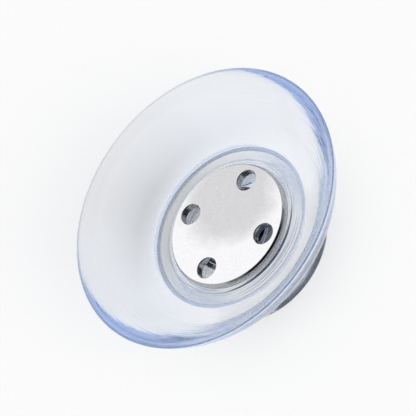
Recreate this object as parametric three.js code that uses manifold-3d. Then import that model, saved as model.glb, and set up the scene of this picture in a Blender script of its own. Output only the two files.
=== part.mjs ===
// Magnetic soap holder: a clear flared dish on a clear base, a steel soap disc in the dish's floor,
// and below the disc the magnet that holds it, sealed in a well.
// Millimetres, +Z up. The origin is at the centre of the foot, on the surface the holder stands on.

import * as THREE from 'three';
import { mergeVertices } from 'three/addons/utils/BufferGeometryUtils.js';
import Module from 'manifold-3d';

const wasm = await Module();
wasm.setup();

// Soap disc, and the recess that it lies in
const discDiameter = 50;
const discThickness = 3.2;
const discBevel = 0.75;
const discBottomEdge = 0.2;
const discHoleDiameter = 8;
const discHoleInset = 2.8;
const discHoleEdge = 0.3;
const discHoleCount = 4;
const discHoleTurnDegrees = 16.3;
const recessDepth = 1.1;
const recessGap = 1.25;
const recessDraft = 0.25;

// Bowl: a flat floor and a bowed wall that is thickest below its middle
const rimDiameter = 112.6;
const bowlDepth = 19.1;
const floorLedge = 6.65;
const floorThickness = 1.7;
const wallBow = 1.6;
const lipThickness = 0.55;
const lipSwell = 2;
const lipSwellLength = 6;
const wallWedge = 0.12;
const rootThickness = 2.4;
const rootLength = 8;

// Base: a skirt that narrows downwards to a thick foot, its top let into a groove under the bowl
const skirtTaper = 1.4;
const skirtWall = 1.3;
const grooveDepth = 1;
const grooveGap = 0.1;
const footHeight = 5;
const footWidth = 8;
const footEdge = 0.5;
const footSlope = 1.5;

// Magnet and its well
const magnetDiameter = 30;
const magnetThickness = 5;
const magnetEdge = 0.4;
const poleThickness = 1.5;
const poleEdge = 0.2;
const wellWall = 1.5;
const capPlug = 2.4;
const capFlange = 1.5;
const capEdge = 0.5;
const capClearance = 5.7;

// Gap between a piece and the bore that it sits in, and how far a cutter runs past what it cuts
const fitGap = 0.3;
const overrun = 1;

// Fineness of the turned surfaces
const turnSteps = 80;
const holeSteps = 32;
const wallSteps = 14;
const edgeSteps = 4;

// Radii, from the disc outwards
const discRadius = discDiameter / 2;
const discHoleRadius = discHoleDiameter / 2;
const discHoleCircleRadius = discRadius - discHoleInset - discHoleRadius;
const magnetRadius = magnetDiameter / 2;
const wellRadius = magnetRadius + fitGap;
const wellOuterRadius = wellRadius + wellWall;
const recessRadius = discRadius + recessGap;
const floorRadius = recessRadius + floorLedge;
const footRadius = floorRadius - skirtTaper;
const grooveInnerRadius = floorRadius - skirtWall - grooveGap;
const grooveOuterRadius = floorRadius + grooveGap;
const rimRadius = rimDiameter / 2;

// Heights, from the surface upwards
const wellEnd = capClearance + capFlange;
const poleBase = wellEnd + capPlug;
const magnetBase = poleBase + poleThickness;
const wellTop = magnetBase + magnetThickness;
const discBase = wellTop + floorThickness;
const floorHeight = discBase + recessDepth;
const floorUnderside = floorHeight - floorThickness;
const baseTop = floorUnderside + grooveDepth;
const dishHeight = floorHeight + bowlDepth;

// The skirt tapers, so its outer radius depends on the height.
const skirtRadiusAt = (height) => THREE.MathUtils.mapLinear(
  height, 0, baseTop, footRadius, floorRadius);

const point = (radius, height) => new THREE.Vector2(radius, height);

// Points on a round edge that turns from one direction to another, in degrees from straight out.
function edgeArc(centre, radius, fromDegrees, toDegrees) {
  const points = [];
  for (let step = 0; step <= edgeSteps; step += 1) {
    const turn = THREE.MathUtils.degToRad(
      THREE.MathUtils.lerp(fromDegrees, toDegrees, step / edgeSteps));
    points.push(point(centre.x + radius * Math.cos(turn), centre.y + radius * Math.sin(turn)));
  }
  return points;
}

// Points on the inner face of the bowl's wall from root to lip, bowed outwards and down by wallBow.
function bowedWall(root, lip) {
  const chord = lip.clone().sub(root);
  const outwards = point(chord.y, -chord.x).normalize();
  const control = root.clone().lerp(lip, 1 / 2).addScaledVector(outwards, 2 * wallBow);
  return new THREE.QuadraticBezierCurve(root, control, lip).getPoints(wallSteps);
}

// Thickness of the bowl's wall at a distance from the lip: it swells behind the lip, grows slowly down
// the wall and is thinner again at the root.
function wallThickness(toLip, length) {
  const swell = lipSwell * (1 - Math.exp(-toLip / lipSwellLength));
  const thickest = lipThickness + lipSwell + wallWedge * length;
  const intoRoot = Math.max(toLip - length + rootLength, 0) / rootLength;
  return lipThickness + swell + wallWedge * toLip - (thickest - rootThickness) * intoRoot ** 2;
}

// The outer face of the wall from root to lip, from its inner face.
function outerWallOf(inner) {
  const lengths = [0];
  for (let index = 1; index < inner.length; index += 1) {
    lengths.push(lengths[index - 1] + inner[index].distanceTo(inner[index - 1]));
  }
  const whole = lengths.at(-1);
  return inner.map((here, index) => {
    const before = inner[Math.max(index - 1, 0)];
    const after = inner[Math.min(index + 1, inner.length - 1)];
    const along = after.clone().sub(before).normalize();
    const outwards = point(along.y, -along.x);
    return here.clone().addScaledVector(outwards, wallThickness(whole - lengths[index], whole));
  });
}

// A solid of revolution about Z. The outline runs anticlockwise, with radius first and height second.
function turned(outline, steps = turnSteps) {
  return new THREE.LatheGeometry(outline, steps).rotateX(Math.PI / 2);
}

function closedRing(outline) {
  return turned([...outline, outline[0].clone()]);
}

function solidOf(geometry) {
  geometry.deleteAttribute('normal');
  geometry.deleteAttribute('uv');
  const merged = mergeVertices(geometry);
  return new wasm.Manifold(new wasm.Mesh({
    numProp: 3,
    vertProperties: merged.attributes.position.array,
    triVerts: new Uint32Array(merged.index.array),
  }));
}

function geometryOf(solid) {
  const mesh = solid.getMesh();
  const geometry = new THREE.BufferGeometry();
  geometry.setAttribute('position', new THREE.BufferAttribute(mesh.vertProperties, 3));
  geometry.setIndex(new THREE.BufferAttribute(mesh.triVerts, 1));
  geometry.computeVertexNormals();
  return geometry;
}

// Bowl, floor with the disc's recess and magnet well, moulded in one
function dishGeometry() {
  const lipRadius = lipThickness / 2;
  const lipCentre = point(rimRadius - lipRadius, dishHeight - lipRadius);
  const innerRoot = point(floorRadius, floorHeight);
  const chord = lipCentre.clone().sub(innerRoot);
  const lipSlope = THREE.MathUtils.radToDeg(chord.angle() + Math.atan2(4 * wallBow, chord.length()));
  const lip = edgeArc(lipCentre, lipRadius, lipSlope - 90, lipSlope + 90);
  const innerWall = bowedWall(innerRoot, lip.at(-1));
  const outerWall = outerWallOf(innerWall);
  return turned([
    point(0, wellTop),
    point(wellRadius, wellTop),
    point(wellRadius, wellEnd),
    point(wellOuterRadius, wellEnd),
    point(wellOuterRadius, wellTop),
    point(grooveInnerRadius, floorUnderside),
    point(grooveInnerRadius, baseTop),
    point(grooveOuterRadius, baseTop),
    point(grooveOuterRadius, outerWall[0].y),
    ...outerWall,
    ...lip.slice(1, -1),
    ...innerWall.reverse(),
    point(recessRadius, floorHeight),
    point(recessRadius - recessDraft, discBase),
    point(0, discBase),
  ]);
}

// Skirt and foot, moulded in one and open at the top, where it is bonded into the dish's groove
function baseGeometry() {
  const footInnerRadius = footRadius - footWidth;
  const edgeCentre = point(footRadius - footEdge, footEdge);
  const footTop = footHeight + footSlope;
  return closedRing([
    point(footInnerRadius, 0),
    ...edgeArc(edgeCentre, footEdge, -90, 0),
    point(floorRadius, baseTop),
    point(floorRadius - skirtWall, baseTop),
    point(skirtRadiusAt(footTop) - skirtWall, footTop),
    point(footInnerRadius, footHeight),
  ]);
}

// Steel disc with a bevelled upper edge and through holes that are eased at the top
function soapDiscGeometry() {
  const blank = solidOf(turned([
    point(0, 0),
    point(discRadius - discBottomEdge, 0),
    point(discRadius, discBottomEdge),
    point(discRadius, discThickness - discBevel),
    point(discRadius - discBevel, discThickness),
    point(0, discThickness),
  ]));
  const holeCutter = solidOf(turned([
    point(0, -overrun),
    point(discHoleRadius, -overrun),
    point(discHoleRadius, discThickness - discHoleEdge),
    point(discHoleRadius + discHoleEdge + overrun, discThickness + overrun),
    point(0, discThickness + overrun),
  ], holeSteps));
  let disc = blank;
  for (let hole = 0; hole < discHoleCount; hole += 1) {
    const turn = THREE.MathUtils.degToRad(discHoleTurnDegrees + hole * 360 / discHoleCount);
    const centreX = discHoleCircleRadius * Math.cos(turn);
    const centreY = discHoleCircleRadius * Math.sin(turn);
    disc = disc.subtract(holeCutter.translate([centreX, centreY, 0]));
  }
  return geometryOf(disc);
}

// Round blank with both edges broken, its underside at height zero
function roundBlank(radius, thickness, edge) {
  return turned([
    point(0, 0),
    point(radius - edge, 0),
    point(radius, edge),
    point(radius, thickness - edge),
    point(radius - edge, thickness),
    point(0, thickness),
  ]);
}

// Cap whose plug closes the well, with a flange under the well's end
function wellCapGeometry() {
  const plugRadius = wellRadius - fitGap;
  return turned([
    point(0, -capFlange),
    point(wellOuterRadius - capEdge, -capFlange),
    point(wellOuterRadius, capEdge - capFlange),
    point(wellOuterRadius, 0),
    point(plugRadius, 0),
    point(plugRadius, capPlug),
    point(0, capPlug),
  ]);
}

const clearPlastic = {
  color: 0xdfe8fb, roughness: 0.05, metalness: 0, transparent: true, opacity: 0.35, side: THREE.DoubleSide,
};
const materials = {
  dish: new THREE.MeshStandardMaterial(clearPlastic),
  base: new THREE.MeshStandardMaterial(clearPlastic),
  soapDisc: new THREE.MeshStandardMaterial({ color: 0xc9cacb, roughness: 0.35, metalness: 1 }),
  magnet: new THREE.MeshStandardMaterial({ color: 0x2b2b2e, roughness: 0.55, metalness: 0.4 }),
  polePlate: new THREE.MeshStandardMaterial({ color: 0x9a9ca0, roughness: 0.4, metalness: 1 }),
  wellCap: new THREE.MeshStandardMaterial({ color: 0x737479, roughness: 0.4, metalness: 0 }),
};

const holder = new THREE.Group();

function place(name, geometry, material, height = 0) {
  const mesh = new THREE.Mesh(geometry, material);
  mesh.name = name;
  mesh.position.z = height;
  holder.add(mesh);
}

place('dish', dishGeometry(), materials.dish);
place('base', baseGeometry(), materials.base);
place('soap_disc', soapDiscGeometry(), materials.soapDisc, discBase);
place('magnet', roundBlank(magnetRadius, magnetThickness, magnetEdge), materials.magnet, magnetBase);
place('pole_plate', roundBlank(magnetRadius, poleThickness, poleEdge), materials.polePlate, poleBase);
place('well_cap', wellCapGeometry(), materials.wellCap, wellEnd);

export default holder;
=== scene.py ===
"""Magnetic soap holder: a clear flared dish on a clear hollow base, with a steel soap disc on a magnet."""

import math

import bpy
from mathutils import Matrix, Vector
from mathutils.geometry import tessellate_polygon


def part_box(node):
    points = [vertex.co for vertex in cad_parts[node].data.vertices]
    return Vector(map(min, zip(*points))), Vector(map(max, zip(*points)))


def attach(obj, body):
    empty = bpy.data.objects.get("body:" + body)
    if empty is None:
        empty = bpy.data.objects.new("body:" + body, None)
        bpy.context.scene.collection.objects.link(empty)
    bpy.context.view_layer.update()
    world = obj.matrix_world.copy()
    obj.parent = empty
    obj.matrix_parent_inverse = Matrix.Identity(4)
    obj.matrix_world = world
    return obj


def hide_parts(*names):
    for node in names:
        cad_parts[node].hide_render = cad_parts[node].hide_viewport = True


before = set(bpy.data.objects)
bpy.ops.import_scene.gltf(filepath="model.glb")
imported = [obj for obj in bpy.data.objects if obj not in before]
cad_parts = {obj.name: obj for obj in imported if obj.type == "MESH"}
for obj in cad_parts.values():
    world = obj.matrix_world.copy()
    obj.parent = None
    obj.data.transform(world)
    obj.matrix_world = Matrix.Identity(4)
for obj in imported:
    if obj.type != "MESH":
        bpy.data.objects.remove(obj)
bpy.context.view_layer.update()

MM = 0.001

# The photograph: square, with the disc's centre at this pixel, seen from this far away
PHOTO_PIXELS = 416
DISC_CENTRE_PIXEL = (226.36, 223.72)
PIXEL_AT_DISC = 0.3722 * MM
VIEW_DISTANCE_PIXELS = 2500
VIEW_DISTANCE = VIEW_DISTANCE_PIXELS * PIXEL_AT_DISC
VIEW_FROM_VERTICAL = math.radians(42.19)
VIEW_ROLL = math.radians(36.56)
SENSOR_WIDTH = 36
CLIP_START = 0.01
CLIP_END = 20

# Fineness of the turned meshes
TURN_STEPS = 384
HOLE_STEPS = 96
WALL_STEPS = 144
LEDGE_STEPS = 72
FILLET_STEPS = 8

# A fillet takes up at most this share of the shorter stretch beside its corner.
FILLET_ROOM_SHARE = 0.45

# A ring with a smaller radius than this is one vertex on the axis.
AXIS_RADIUS = 1e-9

# Places that the visible pieces share with the CAD nodes
dish_low, dish_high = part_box("dish")
base_low, base_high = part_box("base")
disc_low, disc_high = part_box("soap_disc")
magnet_low, magnet_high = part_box("magnet")
plate_low, plate_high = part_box("pole_plate")
cap_low, cap_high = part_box("well_cap")

RIM_RADIUS = dish_high.x
RIM_HEIGHT = dish_high.z
DISC_RADIUS = disc_high.x
DISC_TOP = disc_high.z
DISC_BOTTOM = disc_low.z
MAGNET_RADIUS = magnet_high.x
BASE_TOP_RADIUS = base_high.x
BASE_TOP = base_high.z
WELL_END = dish_low.z
WELL_TOP = magnet_high.z

# Dish
RECESS_GAP = 1.25 * MM
FLOOR_ABOVE_RECESS = 1.1 * MM
FLOOR_LEDGE = 6.65 * MM
GROOVE_DEPTH = 1 * MM
WELL_GAP = 0.3 * MM
WELL_WALL = 1.5 * MM
WALL_BOW = 1.6 * MM
LIP_THICKNESS = 0.65 * MM
LIP_SWELL = 2.0 * MM
LIP_SWELL_LENGTH = 6 * MM
WALL_WEDGE = 0.12
ROOT_LENGTH = 8 * MM
ROOT_THICKNESS = 2.4 * MM
RECESS_DRAFT = 0.25 * MM
BEAD_WIDTH = 1.2 * MM
BEAD_HEIGHT = 0.3 * MM
BEAD_CREST_SHARE = 0.6

# Fillets of the dish's corners
WELL_CEILING_FILLET = 0.4 * MM
WELL_END_FILLET = 0.2 * MM
WELL_ROOT_FILLET = 0.5 * MM
GROOVE_FILLET = 0.15 * MM
FLOOR_FILLET = 1.5 * MM
BEAD_ROOT_FILLET = 0.3 * MM
BEAD_CREST_FILLET = 0.4 * MM
BEAD_EDGE_FILLET = 0.35 * MM
RECESS_FILLET = 0.4 * MM

# Depth and spacing of the rings that turning leaves in the mould
OUTER_RINGS = (0.003 * MM, 1.6 * MM)
INNER_RINGS = (0.003 * MM, 1.6 * MM)
LEDGE_RINGS = (0.03 * MM, 0.9 * MM)
UNDERSIDE_RINGS = (0.055 * MM, 1.1 * MM)

# Waves that make up the rings: how high and how fast each is against the first, and where it starts
RING_WAVES = ((1, 1, 0), (0.6, 1.73, 1), (0.4, 0.61, 2))

# How far the rings on the floor stay away from the wall and from the bead
RINGS_TO_WALL = 1.2 * MM
RINGS_TO_BEAD = 0.2 * MM

# The rings under the floor lie between these shares of the way from the well to the groove.
RINGED_UNDERSIDE_SHARES = (0.1, 0.92)

RECESS_RADIUS = DISC_RADIUS + RECESS_GAP
FLOOR_RADIUS = RECESS_RADIUS + FLOOR_LEDGE
FLOOR_HEIGHT = DISC_BOTTOM + FLOOR_ABOVE_RECESS
WELL_RADIUS = MAGNET_RADIUS + WELL_GAP
WELL_OUTER_RADIUS = WELL_RADIUS + WELL_WALL

# Base
SKIRT_TAPER = 1.4 * MM
SKIRT_WALL = 1.3 * MM
FOOT_HEIGHT = 5 * MM
FOOT_WIDTH = 8 * MM
FOOT_SLOPE = 1.5 * MM
FOOT_EDGE = 0.8 * MM
FOOT_INNER_FILLET = 0.5 * MM
FOOT_TOP_FILLET = 0.6 * MM
SKIRT_ROOT_FILLET = 0.5 * MM
JOINT_FILLET = 0.15 * MM
BOND_GAP = 0.02 * MM
GROOVE_GAP = 0.1 * MM

FOOT_RADIUS = BASE_TOP_RADIUS - SKIRT_TAPER
FOOT_INNER_RADIUS = FOOT_RADIUS - FOOT_WIDTH

# Soap disc
DISC_BEVEL = 0.75 * MM
DISC_BOTTOM_FILLET = 0.2 * MM
BEVEL_LOWER_FILLET = 0.25 * MM
BEVEL_UPPER_FILLET = 0.15 * MM
HOLE_EASE = 0.3 * MM
HOLE_EDGE_FILLET = 0.1 * MM
HOLE_EASE_FILLET = 0.15 * MM
HOLE_RADIUS = 4 * MM
HOLE_INSET = 2.8 * MM
HOLE_COUNT = 4
HOLE_TURN = math.radians(16.3)
HOLE_CIRCLE_RADIUS = DISC_RADIUS - HOLE_INSET - HOLE_RADIUS

# Magnet, its plate and the cap
MAGNET_EDGE = 0.4 * MM
PLATE_EDGE = 0.2 * MM
CAP_EDGE = 0.5 * MM
CAP_SHOULDER_FILLET = 0.1 * MM
PLUG_EDGE = 0.2 * MM

# A noise below is given by its scale per metre, some with a detail after it.

# Clear plastic: what is left of white light after a long way through, and the moulding's marks
PLASTIC_IOR = 1.49
TINT = (0.41, 0.585, 0.865, 1)
FLOW_LINES = 600.0
FLOW_TURNING = 0.004
FLOW_DEPTH = 0.03 * MM
WAVES = (60.0, 1.0)
WAVE_SHARE = 0.8
SMUDGES = (140.0, 4.0)
SMUDGE_RANGE = (0.55, 0.8)
SMUDGE_ROUGHNESS = 0.02
DULL_LIP = 0.6 * MM
DULL_ROUGHNESS = 0.6

# Steel of the disc: the painted sheen that makes its face lighter towards the rim and one side, and the
# shades and marks of its faces
PAINTED_SHEEN_OUTWARDS = 0.45
PAINTED_SHEEN_ACROSS = -0.36
PAINTED_SHEEN_ALONG = -0.25
PAINTED_SHEEN_RANGE = (0.02, 0.34)
CLOUDS = (90.0, 3.0)
CLOUD_CONTRAST = 0.35
PAINTED_SHEEN_SHADES = (0.655, 0.90)
SPECKS = 1500.0
SPECK_CONTRAST = 0.12
LEVEL_RANGE = (0.85, 0.97)
CUT_SHADE = 0.42
BLUE_TO_RED = 1.02
LEVEL_ROUGHNESS = 0.14
RUBBED_PATCHES = (400.0, 4.0)
RUBBED_ROUGHNESS = 0.2
SATIN_GRAIN = 2500.0
SATIN_DEPTH = 0.005 * MM

# Opaque solids
WORN_PATCHES = (260.0, 5.0)
WORN_FLECKS = 2200.0
FLECK_CONTRAST = 0.5
WORN_POLISH = (500.0, 3.0)
MIDDLE_RANGE = (0.3, 0.7)
MARK_TURNING = 0.002
MARK_DEPTH = 0.01 * MM

# Sockets of a Mix node that mixes colours
MIX_FACTOR = 0
MIX_FIRST = 6
MIX_SECOND = 7
MIX_RESULT = 2

# Floor, a little below the foot
STAGE_SIZE = 6
STAGE_DROP = 0.02 * MM
STAGE_COLOUR = (0.9, 0.9, 0.9, 1)
PAPER_COLOUR = (0.72, 0.72, 0.72, 1)
PAPER_SHARE = 0.4

# Room: the directions of its bright and dark sides, how near to them it changes, and its strength there
SKY_DIRECTION = (0, 0.67, 0.74)
SKY_NEARNESS = (0.45, 0.95)
SKY_STRENGTHS = (0.34, 1.05)
OVERHEAD = (0, 0, 1)
BACKDROP_NEARNESS = (0.0, 0.12)
DARK_DIRECTION = (0.05, -0.93, 0.37)
DARK_NEARNESS = (0.55, 0.8)
DARK_STRENGTHS = (1.0, 0.05)
THROUGH_PLASTIC_STRENGTH = 0.65
EVEN_STRENGTH = 0.62

# Lamp
KEY_ENERGY = 4.9
KEY_ANGLE = math.radians(30)
KEY_DIRECTION = (0.20, -0.89, 0.41)

# Bounces that light needs to get through the plastic
MOST_BOUNCES = 200
MOST_TRANSPARENT_BOUNCES = 64


def bowed_wall(root, lip):
    """Points of the inner face of the bowl's wall from root to lip, bowed outwards and down."""
    chord = lip - root
    outwards = Vector((chord.y, -chord.x)).normalized()
    control = (root + lip) / 2 + outwards * 2 * WALL_BOW
    shares = (step / WALL_STEPS for step in range(WALL_STEPS + 1))
    return [root * (1 - s) ** 2 + control * 2 * s * (1 - s) + lip * s * s for s in shares]


def wall_thickness(to_lip, length):
    """Thickness at a distance from the lip: it swells fast, then slowly, and is thin again at the root."""
    swell = LIP_SWELL * (1 - math.exp(-to_lip / LIP_SWELL_LENGTH))
    thickest = LIP_THICKNESS + LIP_SWELL + WALL_WEDGE * length
    into_root = max(to_lip - length + ROOT_LENGTH, 0) / ROOT_LENGTH
    return LIP_THICKNESS + swell + WALL_WEDGE * to_lip - (thickest - ROOT_THICKNESS) * into_root ** 2


def outer_wall_of(inner):
    """The outer face of the wall from root to lip, from its inner face."""
    lengths = [0.0]
    for first, second in zip(inner, inner[1:]):
        lengths.append(lengths[-1] + (second - first).length)
    outer = []
    for index, point in enumerate(inner):
        along = (inner[min(index + 1, len(inner) - 1)] - inner[max(index - 1, 0)]).normalized()
        thickness = wall_thickness(lengths[-1] - lengths[index], lengths[-1])
        outer.append(point + Vector((along.y, -along.x)) * thickness)
    return outer


def straight(start, end):
    """Points evenly along a line."""
    return [start.lerp(end, step / LEDGE_STEPS) for step in range(LEDGE_STEPS + 1)]


def rippled(points, rings):
    """The same points with the shallow rings that turning leaves in a mould, faded out at both ends."""
    depth, spacing = rings
    moved = [points[0]]
    length = 0.0
    whole = sum((after - before).length for before, after in zip(points, points[1:]))
    for before, here, after in zip(points, points[1:], points[2:]):
        length += (here - before).length
        along = (after - before).normalized()
        phase = 2 * math.pi * length / spacing
        wave = sum(height * math.sin(pace * phase + start) for height, pace, start in RING_WAVES)
        fade = math.sin(math.pi * length / whole)
        moved.append(here + Vector((along.y, -along.x)) * depth * fade * wave)
    return moved + [points[-1]]


def rounded(corners):
    """Turns (radius, height, fillet) corners into outline points with the direction that each faces.

    The outline runs anticlockwise, so its outside is on the right. A fillet of None marks a point of a
    smooth curve, which faces halfway between its two neighbouring stretches.
    """
    places = [Vector(corner[:2]) for corner in corners]
    points = []
    for index, corner in enumerate(corners):
        here = places[index]
        before = here - places[index - 1]
        after = places[(index + 1) % len(places)] - here
        from_angle = math.atan2(-before.x, before.y)
        turn = math.remainder(math.atan2(-after.x, after.y) - from_angle, 2 * math.pi)
        if corner[2] is None:
            points.append((here, from_angle + turn / 2))
            continue
        reach = abs(math.tan(turn / 2))
        radius = min(corner[2], FILLET_ROOM_SHARE * min(before.length, after.length) / reach)
        start = here - before.normalized() * radius * reach
        side = math.copysign(1, turn)
        centre = start - side * radius * Vector((math.cos(from_angle), math.sin(from_angle)))
        for step in range(FILLET_STEPS + 1):
            angle = from_angle + turn * step / FILLET_STEPS
            facing = Vector((math.cos(angle), math.sin(angle)))
            points.append((centre + side * radius * facing, angle))
    return points


class Shell:
    """Collects vertices with the direction that each faces, and the faces between them."""

    def __init__(self):
        self.vertices = []
        self.normals = []
        self.faces = []

    def ring(self, place, angle, steps, centre=(0, 0)):
        """A ring of vertices about an upright axis, or the one vertex on it."""
        radius, height = place
        if radius < AXIS_RADIUS:
            steps, radius = 1, 0
        outwards = math.cos(angle) if radius else 0
        upwards = math.sin(angle) if radius else math.copysign(1, math.sin(angle))
        first = len(self.vertices)
        for step in range(steps):
            x, y = math.cos(2 * math.pi * step / steps), math.sin(2 * math.pi * step / steps)
            self.vertices.append((centre[0] + radius * x, centre[1] + radius * y, height))
            self.normals.append((outwards * x, outwards * y, upwards))
        return range(first, first + steps)

    def band(self, first, second):
        """Faces between two rings; either may be the vertex on the axis."""
        steps = max(len(first), len(second))
        for step in range(steps):
            after = (step + 1) % steps
            if len(first) == 1:
                self.faces.append((first[0], second[after], second[step]))
            elif len(second) == 1:
                self.faces.append((first[step], first[after], second[0]))
            else:
                self.faces.append((first[step], first[after], second[after], second[step]))

    def turned(self, outline, steps, centre=(0, 0), closed=False):
        """Rings for an outline, with bands between them."""
        rings = [self.ring(place, angle, steps, centre) for place, angle in outline]
        for first, second in zip(rings, rings[1:] + rings[:1] if closed else rings[1:]):
            self.band(first, second)
        return rings

    def flat(self, rings, upwards):
        """A level face inside the first ring and outside the others."""
        loops = [[Vector(self.vertices[index]) for index in ring] for ring in rings]
        indices = [index for ring in rings for index in ring]
        for corners in tessellate_polygon(loops):
            face = [indices[corner] for corner in corners]
            first, second, third = (Vector(self.vertices[index]) for index in face)
            if ((second - first).cross(third - first).z > 0) != upwards:
                face.reverse()
            self.faces.append(tuple(face))

    def piece(self, name):
        """The shell as an object in the scene."""
        mesh = bpy.data.meshes.new(name)
        mesh.from_pydata(self.vertices, [], self.faces)
        mesh.shade_smooth()
        mesh.normals_split_custom_set_from_vertices(self.normals)
        piece = bpy.data.objects.new(name, mesh)
        bpy.context.scene.collection.objects.link(piece)
        return piece


def on_axis(height, facing):
    """Marks where an outline meets the axis, facing straight up (1) or down (-1)."""
    return (Vector((0, height)), facing * math.pi / 2)


def axis_solid(name, low, high, corners):
    """A solid that meets the axis at heights low and high, with corners between them."""
    between = rounded([(0, low, None)] + corners + [(0, high, None)])[1:-1]
    shell = Shell()
    shell.turned([on_axis(low, -1)] + between + [on_axis(high, 1)], TURN_STEPS)
    return shell.piece(name)


def curve(points):
    """Points of a smooth curve as corners without a fillet."""
    return [(point.x, point.y, None) for point in points]


# Materials


class Nodes:
    """Adds nodes to one tree. A value for a socket is a number, a colour or another node's output."""

    def __init__(self, tree):
        self.tree = tree

    def new(self, kind, **values):
        """A node with its properties set and its sockets, named with _ for a space, fed."""
        made = self.tree.nodes.new("ShaderNode" + kind)
        for key, value in values.items():
            if hasattr(made, key):
                setattr(made, key, value)
            else:
                self.feed(made.inputs[key.replace("_", " ")], value)
        return made

    def feed(self, socket, value):
        if isinstance(value, bpy.types.NodeSocket):
            self.tree.links.new(value, socket)
        else:
            socket.default_value = value

    def math(self, operation, *values):
        made = self.new("Math", operation=operation)
        for socket, value in zip(made.inputs, values):
            self.feed(socket, value)
        return made.outputs["Value"]

    def vector(self, operation, *values):
        made = self.new("VectorMath", operation=operation)
        for socket, value in zip(made.inputs, values):
            self.feed(socket, value)
        return made.outputs["Vector"]

    def place(self, kind="Object"):
        """Coordinates on the piece, in metres, or the direction that its surface faces."""
        return self.new("TexCoord").outputs[kind]

    def parts(self, vector):
        """The X, Y and Z of a vector."""
        return self.new("SeparateXYZ", Vector=vector).outputs

    def noise(self, scale, detail=2.0, vector=None):
        """Values about 0.5, on the piece's own coordinates unless a vector is given."""
        made = self.new("TexNoise", Vector=vector or self.place(), Scale=scale, Detail=detail)
        return made.outputs["Fac"]

    def about_zero(self, value, amount):
        """A noise's value centred on zero and scaled."""
        return self.math("MULTIPLY", self.math("SUBTRACT", value, 0.5), amount)

    def ramp(self, value, low, high, at_low, at_high):
        """A smooth step from at_low to at_high while the value goes from low to high."""
        made = self.new("MapRange", interpolation_type="SMOOTHSTEP", Value=value,
                        From_Min=low, From_Max=high, To_Min=at_low, To_Max=at_high)
        return made.outputs["Result"]

    def round_axis(self, turning, climbing):
        """Place for marks that run round the axis: fine across, and slow to change along."""
        x, y, z = self.parts(self.place())
        flat = self.new("CombineXYZ", X=x, Y=y).outputs["Vector"]
        out = self.new("VectorMath", operation="LENGTH")
        self.feed(out.inputs[0], flat)
        across = self.math("ADD", out.outputs["Value"], self.math("MULTIPLY", z, climbing))
        direction = self.vector("MULTIPLY", self.vector("NORMALIZE", flat), (turning,) * 3)
        shift = self.new("CombineXYZ", Z=across).outputs["Vector"]
        return self.vector("ADD", direction, shift)

    def bump(self, height, depth):
        """Normal of a surface with marks of the given depth in metres."""
        return self.new("Bump", Height=height, Strength=1.0, Distance=depth).outputs["Normal"]


def new_material(name):
    """A material with its nodes, its shader and its output."""
    material = bpy.data.materials.new(name)
    material.use_nodes = True
    tree = material.node_tree
    return material, Nodes(tree), tree.nodes["Principled BSDF"], tree.nodes["Material Output"]


def clear_plastic(name, tint_density, lamp_share):
    """Clear moulded plastic that looks blue where the way through it is long.

    lamp_share is how much of a lamp's red, green and blue each of its surfaces lets through.
    """
    material, nodes, shader, output = new_material(name)
    sockets = shader.inputs
    sockets["Base Color"].default_value = (1, 1, 1, 1)
    sockets["IOR"].default_value = PLASTIC_IOR
    sockets["Transmission Weight"].default_value = 1.0

    # Polish marks and flow lines of the mould run round the axis.
    lines = nodes.noise(FLOW_LINES, vector=nodes.round_axis(FLOW_TURNING, 1.0))
    height = nodes.math("ADD", lines, nodes.math("MULTIPLY", nodes.noise(*WAVES), WAVE_SHARE))
    nodes.feed(sockets["Normal"], nodes.bump(height, FLOW_DEPTH))
    smudges = nodes.ramp(nodes.noise(*SMUDGES), *SMUDGE_RANGE, 0.0, SMUDGE_ROUGHNESS)

    # The lip's edge was trimmed and is dull.
    climb = nodes.parts(nodes.place())["Z"]
    trimmed = nodes.ramp(climb, RIM_HEIGHT - DULL_LIP, RIM_HEIGHT - DULL_LIP / 2, 0.0, DULL_ROUGHNESS)
    nodes.feed(sockets["Roughness"], nodes.math("ADD", trimmed, smudges))

    # Lamps shine through the plastic on to what lies behind it.
    path = nodes.new("LightPath")
    see_through = nodes.new("BsdfTransparent", Color=(*lamp_share, 1))
    mix = nodes.new("MixShader", Fac=path.outputs["Is Shadow Ray"])
    nodes.feed(mix.inputs[1], shader.outputs["BSDF"])
    nodes.feed(mix.inputs[2], see_through.outputs["BSDF"])
    nodes.feed(output.inputs["Surface"], mix.outputs["Shader"])

    tint = nodes.new("VolumeAbsorption", Color=TINT, Density=tint_density)
    nodes.feed(output.inputs["Volume"], tint.outputs["Volume"])
    return material


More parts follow.
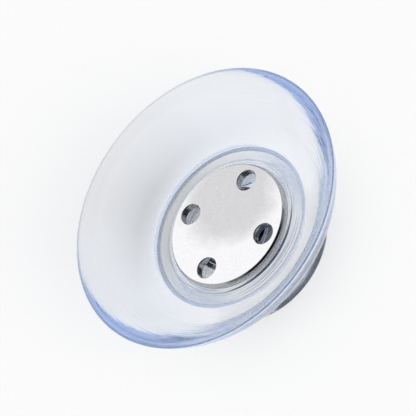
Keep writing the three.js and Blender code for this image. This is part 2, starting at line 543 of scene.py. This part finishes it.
def satin_steel():
    """Steel with a fine satin grain, cloudy on its level faces, which carry a painted sheen."""
    material, nodes, shader, _ = new_material("satin_steel")
    shader.inputs["Metallic"].default_value = 1.0
    place = nodes.parts(nodes.place())
    across = nodes.math("MULTIPLY", place["X"], 1 / DISC_RADIUS)
    along = nodes.math("MULTIPLY", place["Y"], 1 / DISC_RADIUS)
    out = nodes.math("ADD", nodes.math("MULTIPLY", across, across), nodes.math("MULTIPLY", along, along))

    # Painted sheen: the level faces are painted lighter towards the rim and towards one side and darker in
    # the middle, in place of reflected light; clouds of random tone run through it.
    towards = nodes.math("ADD", nodes.math("MULTIPLY", across, PAINTED_SHEEN_ACROSS),
                         nodes.math("MULTIPLY", along, PAINTED_SHEEN_ALONG))
    cloud = nodes.about_zero(nodes.noise(*CLOUDS), CLOUD_CONTRAST)
    painted_sheen = nodes.math("ADD", nodes.math("MULTIPLY", out, PAINTED_SHEEN_OUTWARDS), nodes.math("ADD", towards, cloud))
    face = nodes.ramp(painted_sheen, *PAINTED_SHEEN_RANGE, *PAINTED_SHEEN_SHADES)
    lit = nodes.math("ADD", face, nodes.about_zero(nodes.noise(SPECKS), SPECK_CONTRAST))

    # The cut and bevelled faces are darker and smoother than the level ones.
    level = nodes.ramp(nodes.parts(nodes.place("Normal"))["Z"], *LEVEL_RANGE, 0.0, 1.0)
    cut = nodes.math("MULTIPLY", nodes.math("SUBTRACT", 1.0, level), CUT_SHADE)
    shade = nodes.math("ADD", nodes.math("MULTIPLY", lit, level), cut)
    blue = nodes.math("MULTIPLY", shade, BLUE_TO_RED)
    colour = nodes.new("CombineColor", Red=shade, Green=shade, Blue=blue)
    nodes.feed(shader.inputs["Base Color"], colour.outputs["Color"])
    dull = nodes.math("MULTIPLY", level, LEVEL_ROUGHNESS)
    rubbed = nodes.math("MULTIPLY", nodes.noise(*RUBBED_PATCHES), RUBBED_ROUGHNESS)
    nodes.feed(shader.inputs["Roughness"], nodes.math("ADD", dull, rubbed))
    nodes.feed(shader.inputs["Normal"], nodes.bump(nodes.noise(SATIN_GRAIN), SATIN_DEPTH))
    return material


def worn_solid(name, dark, light, metallic, roughness, grain, turned_marks=False):
    """Opaque material mottled between two colours, with a grain or with turned marks in its surface."""
    material, nodes, shader, _ = new_material(name)
    shader.inputs["Metallic"].default_value = metallic
    patches = nodes.ramp(nodes.noise(*WORN_PATCHES), *MIDDLE_RANGE, 0.0, 1.0)
    flecks = nodes.about_zero(nodes.noise(WORN_FLECKS), FLECK_CONTRAST)
    mottling = nodes.new("Clamp", Value=nodes.math("ADD", patches, flecks)).outputs["Result"]
    colour = nodes.new("Mix", data_type="RGBA")
    nodes.feed(colour.inputs[MIX_FACTOR], mottling)
    nodes.feed(colour.inputs[MIX_FIRST], (*dark, 1))
    nodes.feed(colour.inputs[MIX_SECOND], (*light, 1))
    nodes.feed(shader.inputs["Base Color"], colour.outputs[MIX_RESULT])
    polish = nodes.ramp(nodes.noise(*WORN_POLISH), *MIDDLE_RANGE, *roughness)
    nodes.feed(shader.inputs["Roughness"], polish)
    marks = nodes.round_axis(MARK_TURNING, 0.0) if turned_marks else nodes.place()
    nodes.feed(shader.inputs["Normal"], nodes.bump(nodes.noise(grain, vector=marks), MARK_DEPTH))
    return material


# Pieces


def skirt_radius(height):
    """The skirt's outer radius, which grows upwards."""
    return FOOT_RADIUS + SKIRT_TAPER * height / BASE_TOP


def dish_piece():
    """Bowl with a rounded lip, floor with the disc's recess and a bead round it, groove and well."""
    lip_radius = LIP_THICKNESS / 2
    lip_centre = Vector((RIM_RADIUS - lip_radius, RIM_HEIGHT - lip_radius))
    inner_root = Vector((FLOOR_RADIUS, FLOOR_HEIGHT))
    chord = lip_centre - inner_root
    lip_slope = math.atan2(chord.y, chord.x) + math.atan2(4 * WALL_BOW, chord.length)
    facing = Vector((-math.sin(lip_slope), math.cos(lip_slope)))
    inner_wall = bowed_wall(inner_root, lip_centre + lip_radius * facing)
    outer_wall = rippled(outer_wall_of(inner_wall), OUTER_RINGS)
    inner_wall = rippled(inner_wall, INNER_RINGS)
    groove_inner_radius = BASE_TOP_RADIUS - SKIRT_WALL - GROOVE_GAP
    floor_underside = BASE_TOP - GROOVE_DEPTH
    under_well = Vector((WELL_OUTER_RADIUS, WELL_TOP))
    under_groove = Vector((groove_inner_radius, floor_underside))
    underside = straight(*(under_well.lerp(under_groove, share) for share in RINGED_UNDERSIDE_SHARES))
    ledge = straight(Vector((FLOOR_RADIUS - RINGS_TO_WALL, FLOOR_HEIGHT)),
                     Vector((RECESS_RADIUS + BEAD_WIDTH + RINGS_TO_BEAD, FLOOR_HEIGHT)))
    lip_arc = []
    for step in range(1, 2 * FILLET_STEPS):
        angle = lip_slope - math.pi / 2 + math.pi * step / (2 * FILLET_STEPS)
        lip_arc.append(lip_centre + lip_radius * Vector((math.cos(angle), math.sin(angle))))
    corners = [
        (WELL_RADIUS, WELL_TOP, WELL_CEILING_FILLET),
        (WELL_RADIUS, WELL_END, WELL_END_FILLET),
        (WELL_OUTER_RADIUS, WELL_END, WELL_END_FILLET),
        (WELL_OUTER_RADIUS, WELL_TOP, WELL_ROOT_FILLET),
        *curve(rippled(underside, UNDERSIDE_RINGS)),
        (groove_inner_radius, floor_underside, GROOVE_FILLET),
        (groove_inner_radius, BASE_TOP, GROOVE_FILLET),
        (BASE_TOP_RADIUS + GROOVE_GAP, BASE_TOP, GROOVE_FILLET),
        (BASE_TOP_RADIUS + GROOVE_GAP, outer_wall[0].y, GROOVE_FILLET),
        (outer_wall[0].x, outer_wall[0].y, GROOVE_FILLET),
        *curve(outer_wall[1:] + lip_arc + inner_wall[:0:-1]),
        (FLOOR_RADIUS, FLOOR_HEIGHT, FLOOR_FILLET),
        *curve(rippled(ledge, LEDGE_RINGS)),
        (RECESS_RADIUS + BEAD_WIDTH, FLOOR_HEIGHT, BEAD_ROOT_FILLET),
        (RECESS_RADIUS + BEAD_CREST_SHARE * BEAD_WIDTH, FLOOR_HEIGHT + BEAD_HEIGHT, BEAD_CREST_FILLET),
        (RECESS_RADIUS, FLOOR_HEIGHT + BEAD_HEIGHT, BEAD_EDGE_FILLET),
        (RECESS_RADIUS - RECESS_DRAFT, DISC_BOTTOM, RECESS_FILLET),
    ]
    return axis_solid("clear_dish", WELL_TOP, DISC_BOTTOM, corners)


def base_piece():
    """Skirt that narrows downwards to a thick foot; a hair below the dish, which it is bonded to."""
    foot_top = FOOT_HEIGHT + FOOT_SLOPE
    joint = BASE_TOP - BOND_GAP
    corners = [
        (FOOT_INNER_RADIUS, base_low.z, FOOT_INNER_FILLET),
        (FOOT_RADIUS, base_low.z, FOOT_EDGE),
        (BASE_TOP_RADIUS, joint, JOINT_FILLET),
        (BASE_TOP_RADIUS - SKIRT_WALL, joint, JOINT_FILLET),
        (skirt_radius(foot_top) - SKIRT_WALL, foot_top, SKIRT_ROOT_FILLET),
        (FOOT_INNER_RADIUS, FOOT_HEIGHT, FOOT_TOP_FILLET),
    ]
    shell = Shell()
    shell.turned(rounded(corners), TURN_STEPS, closed=True)
    return shell.piece("clear_base")


def disc_piece():
    """Disc with a bevelled upper edge and through holes that are eased at the top."""
    shell = Shell()
    edge = rounded([
        (0, DISC_BOTTOM, None),
        (DISC_RADIUS, DISC_BOTTOM, DISC_BOTTOM_FILLET),
        (DISC_RADIUS, DISC_TOP - DISC_BEVEL, BEVEL_LOWER_FILLET),
        (DISC_RADIUS - DISC_BEVEL, DISC_TOP, BEVEL_UPPER_FILLET),
        (0, DISC_TOP, None),
    ])[1:-1]
    rings = shell.turned(edge, TURN_STEPS)
    bottoms, tops = [rings[0]], [rings[-1]]
    wall = rounded([
        (DISC_RADIUS, DISC_TOP, None),
        (HOLE_RADIUS + HOLE_EASE, DISC_TOP, HOLE_EDGE_FILLET),
        (HOLE_RADIUS, DISC_TOP - HOLE_EASE, HOLE_EASE_FILLET),
        (HOLE_RADIUS, DISC_BOTTOM, HOLE_EDGE_FILLET),
        (DISC_RADIUS, DISC_BOTTOM, None),
    ])[1:-1]
    for hole in range(HOLE_COUNT):
        turn = HOLE_TURN + hole * 2 * math.pi / HOLE_COUNT
        centre = (HOLE_CIRCLE_RADIUS * math.cos(turn), HOLE_CIRCLE_RADIUS * math.sin(turn))
        rings = shell.turned(wall, HOLE_STEPS, centre)
        tops.append(rings[0])
        bottoms.append(rings[-1])
    shell.flat(tops, True)
    shell.flat(bottoms, False)
    return shell.piece("steel_disc")


def blank_piece(name, low, high, edge):
    """Round blank with softened edges."""
    corners = [(high.x, low.z, edge), (high.x, high.z, edge)]
    return axis_solid(name, low.z, high.z, corners)


def cap_piece():
    """Cap with a flange under the well's end and a plug that fills the well."""
    plug_radius = WELL_RADIUS - WELL_GAP
    corners = [
        (cap_high.x, cap_low.z, CAP_EDGE),
        (cap_high.x, WELL_END, CAP_SHOULDER_FILLET),
        (plug_radius, WELL_END, CAP_SHOULDER_FILLET),
        (plug_radius, cap_high.z, PLUG_EDGE),
    ]
    return axis_solid("cap", cap_low.z, cap_high.z, corners)


dish = dish_piece()
dish.data.materials.append(
    clear_plastic("clear_plastic", tint_density=22.0, lamp_share=(0.95, 0.955, 0.96)))
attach(dish, "holder")
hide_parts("dish")

base = base_piece()
base.data.materials.append(
    clear_plastic("base_plastic", tint_density=38.0, lamp_share=(0.97, 0.97, 0.975)))
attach(base, "holder")
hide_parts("base")

disc = disc_piece()
disc.data.materials.append(satin_steel())
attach(disc, "steel_disc")
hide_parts("soap_disc")

magnet = blank_piece("round_magnet", magnet_low, magnet_high, MAGNET_EDGE)
magnet.data.materials.append(
    worn_solid("magnet_metal", dark=(0.02, 0.02, 0.022), light=(0.045, 0.045, 0.048), metallic=0.4,
               roughness=(0.3, 0.55), grain=1800.0))
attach(magnet, "holder")
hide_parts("magnet")

plate = blank_piece("back_plate", plate_low, plate_high, PLATE_EDGE)
plate.data.materials.append(
    worn_solid("plate_steel", dark=(0.24, 0.24, 0.25), light=(0.36, 0.36, 0.37), metallic=1.0,
               roughness=(0.25, 0.45), grain=4000.0, turned_marks=True))
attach(plate, "holder")
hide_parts("pole_plate")

cap = cap_piece()
cap.data.materials.append(
    worn_solid("cap_plastic", dark=(0.22, 0.24, 0.29), light=(0.28, 0.3, 0.36), metallic=0.0,
               roughness=(0.32, 0.5), grain=2600.0))
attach(cap, "holder")
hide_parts("well_cap")


# Stage


def make_floor():
    """A matt pale floor that is partly an even tone where it is seen, so that the shadow on it is soft."""
    bpy.ops.mesh.primitive_plane_add(size=STAGE_SIZE, location=(0, 0, -STAGE_DROP))
    floor = bpy.context.object
    floor.name = "floor"
    material, nodes, shader, output = new_material("floor")
    nodes.tree.nodes.remove(shader)
    matt = nodes.new("BsdfDiffuse", Color=STAGE_COLOUR)
    paper = nodes.new("Emission", Color=PAPER_COLOUR, Strength=1.0)
    path = nodes.new("LightPath").outputs
    mirrored = nodes.math("MAXIMUM", path["Is Glossy Ray"], path["Is Transmission Ray"])
    seen = nodes.math("MAXIMUM", path["Is Camera Ray"], mirrored)
    mix = nodes.new("MixShader", Fac=nodes.math("MULTIPLY", seen, PAPER_SHARE))
    nodes.feed(mix.inputs[1], matt.outputs["BSDF"])
    nodes.feed(mix.inputs[2], paper.outputs["Emission"])
    nodes.feed(output.inputs["Surface"], mix.outputs["Shader"])
    floor.data.materials.append(material)


def make_world():
    """Plain soft light from above and behind, with a white backdrop."""
    world = bpy.data.worlds.new("studio")
    bpy.context.scene.world = world
    world.use_nodes = True
    nodes = Nodes(world.node_tree)
    background = world.node_tree.nodes["Background"]
    background.inputs["Color"].default_value = (1, 1, 1, 1)

    def strength_towards(direction, nearness, strengths):
        """Strength that changes smoothly with how near a direction is to the given one."""
        near = nodes.new("VectorMath", operation="DOT_PRODUCT")
        nodes.feed(near.inputs[0], nodes.place("Generated"))
        nodes.feed(near.inputs[1], Vector(direction).normalized())
        return nodes.ramp(near.outputs["Value"], *nearness, *strengths)

    def mixed(factor, first, second):
        return nodes.new("Mix", Factor=factor, A=first, B=second).outputs["Result"]

    path = nodes.new("LightPath").outputs
    through = path["Is Transmission Ray"]
    sky = strength_towards(SKY_DIRECTION, SKY_NEARNESS, SKY_STRENGTHS)
    backdrop = strength_towards(OVERHEAD, BACKDROP_NEARNESS, (1.0, 0.0))
    dark_side = strength_towards(DARK_DIRECTION, DARK_NEARNESS, DARK_STRENGTHS)

    # Light through the plastic meets white, a little darker on the viewer's side; matt faces get it evenly.
    white = nodes.math("MAXIMUM", through, backdrop)
    room = nodes.math("MAXIMUM", dark_side, nodes.math("MULTIPLY", through, THROUGH_PLASTIC_STRENGTH))
    light = nodes.math("MULTIPLY", mixed(white, sky, 1.0), room)
    even = mixed(path["Is Diffuse Ray"], light, EVEN_STRENGTH)

    # The backdrop is white to the eye, also where it is seen through the plastic.
    seen_through = nodes.math("MULTIPLY", through, backdrop)
    seen = nodes.math("MAXIMUM", path["Is Camera Ray"], seen_through)
    nodes.feed(background.inputs["Strength"], mixed(seen, even, 1.0))


def make_camera():
    """Looks at the disc's centre from -Y, rolled and shifted as the photograph is."""
    to_camera = Vector((0, -math.sin(VIEW_FROM_VERTICAL), math.cos(VIEW_FROM_VERTICAL)))
    nearer = Vector((0, -math.cos(VIEW_FROM_VERTICAL), -math.sin(VIEW_FROM_VERTICAL)))
    sideways = Vector((1, 0, 0))
    right = nearer * math.cos(VIEW_ROLL) + sideways * math.sin(VIEW_ROLL)
    up = sideways * math.cos(VIEW_ROLL) - nearer * math.sin(VIEW_ROLL)
    lens = bpy.data.cameras.new("camera")
    lens.sensor_width = SENSOR_WIDTH
    lens.lens = SENSOR_WIDTH * VIEW_DISTANCE / (PHOTO_PIXELS * PIXEL_AT_DISC)
    lens.shift_x = (PHOTO_PIXELS / 2 - DISC_CENTRE_PIXEL[0]) / PHOTO_PIXELS
    lens.shift_y = (DISC_CENTRE_PIXEL[1] - PHOTO_PIXELS / 2) / PHOTO_PIXELS
    lens.clip_start = CLIP_START
    lens.clip_end = CLIP_END
    camera = bpy.data.objects.new("camera", lens)
    bpy.context.scene.collection.objects.link(camera)
    turn = Matrix((right, up, to_camera)).transposed().to_4x4()
    place = Vector((0, 0, DISC_TOP)) + to_camera * VIEW_DISTANCE
    camera.matrix_world = Matrix.Translation(place) @ turn
    bpy.context.scene.camera = camera


def make_lamp():
    """One wide soft lamp from the viewer's side, which throws the shadow behind the bowl."""
    lamp = bpy.data.lights.new("key", "SUN")
    lamp.energy = KEY_ENERGY
    lamp.angle = KEY_ANGLE
    key = bpy.data.objects.new("key", lamp)
    bpy.context.scene.collection.objects.link(key)
    key.visible_glossy = False
    key.visible_transmission = False
    key.rotation_euler = Vector(KEY_DIRECTION).to_track_quat("Z", "Y").to_euler()


make_floor()
make_world()
make_lamp()
make_camera()

scene = bpy.context.scene
scene.view_settings.view_transform = "Standard"
scene.cycles.max_bounces = MOST_BOUNCES
scene.cycles.transmission_bounces = MOST_BOUNCES
scene.cycles.glossy_bounces = MOST_BOUNCES
scene.cycles.transparent_max_bounces = MOST_TRANSPARENT_BOUNCES
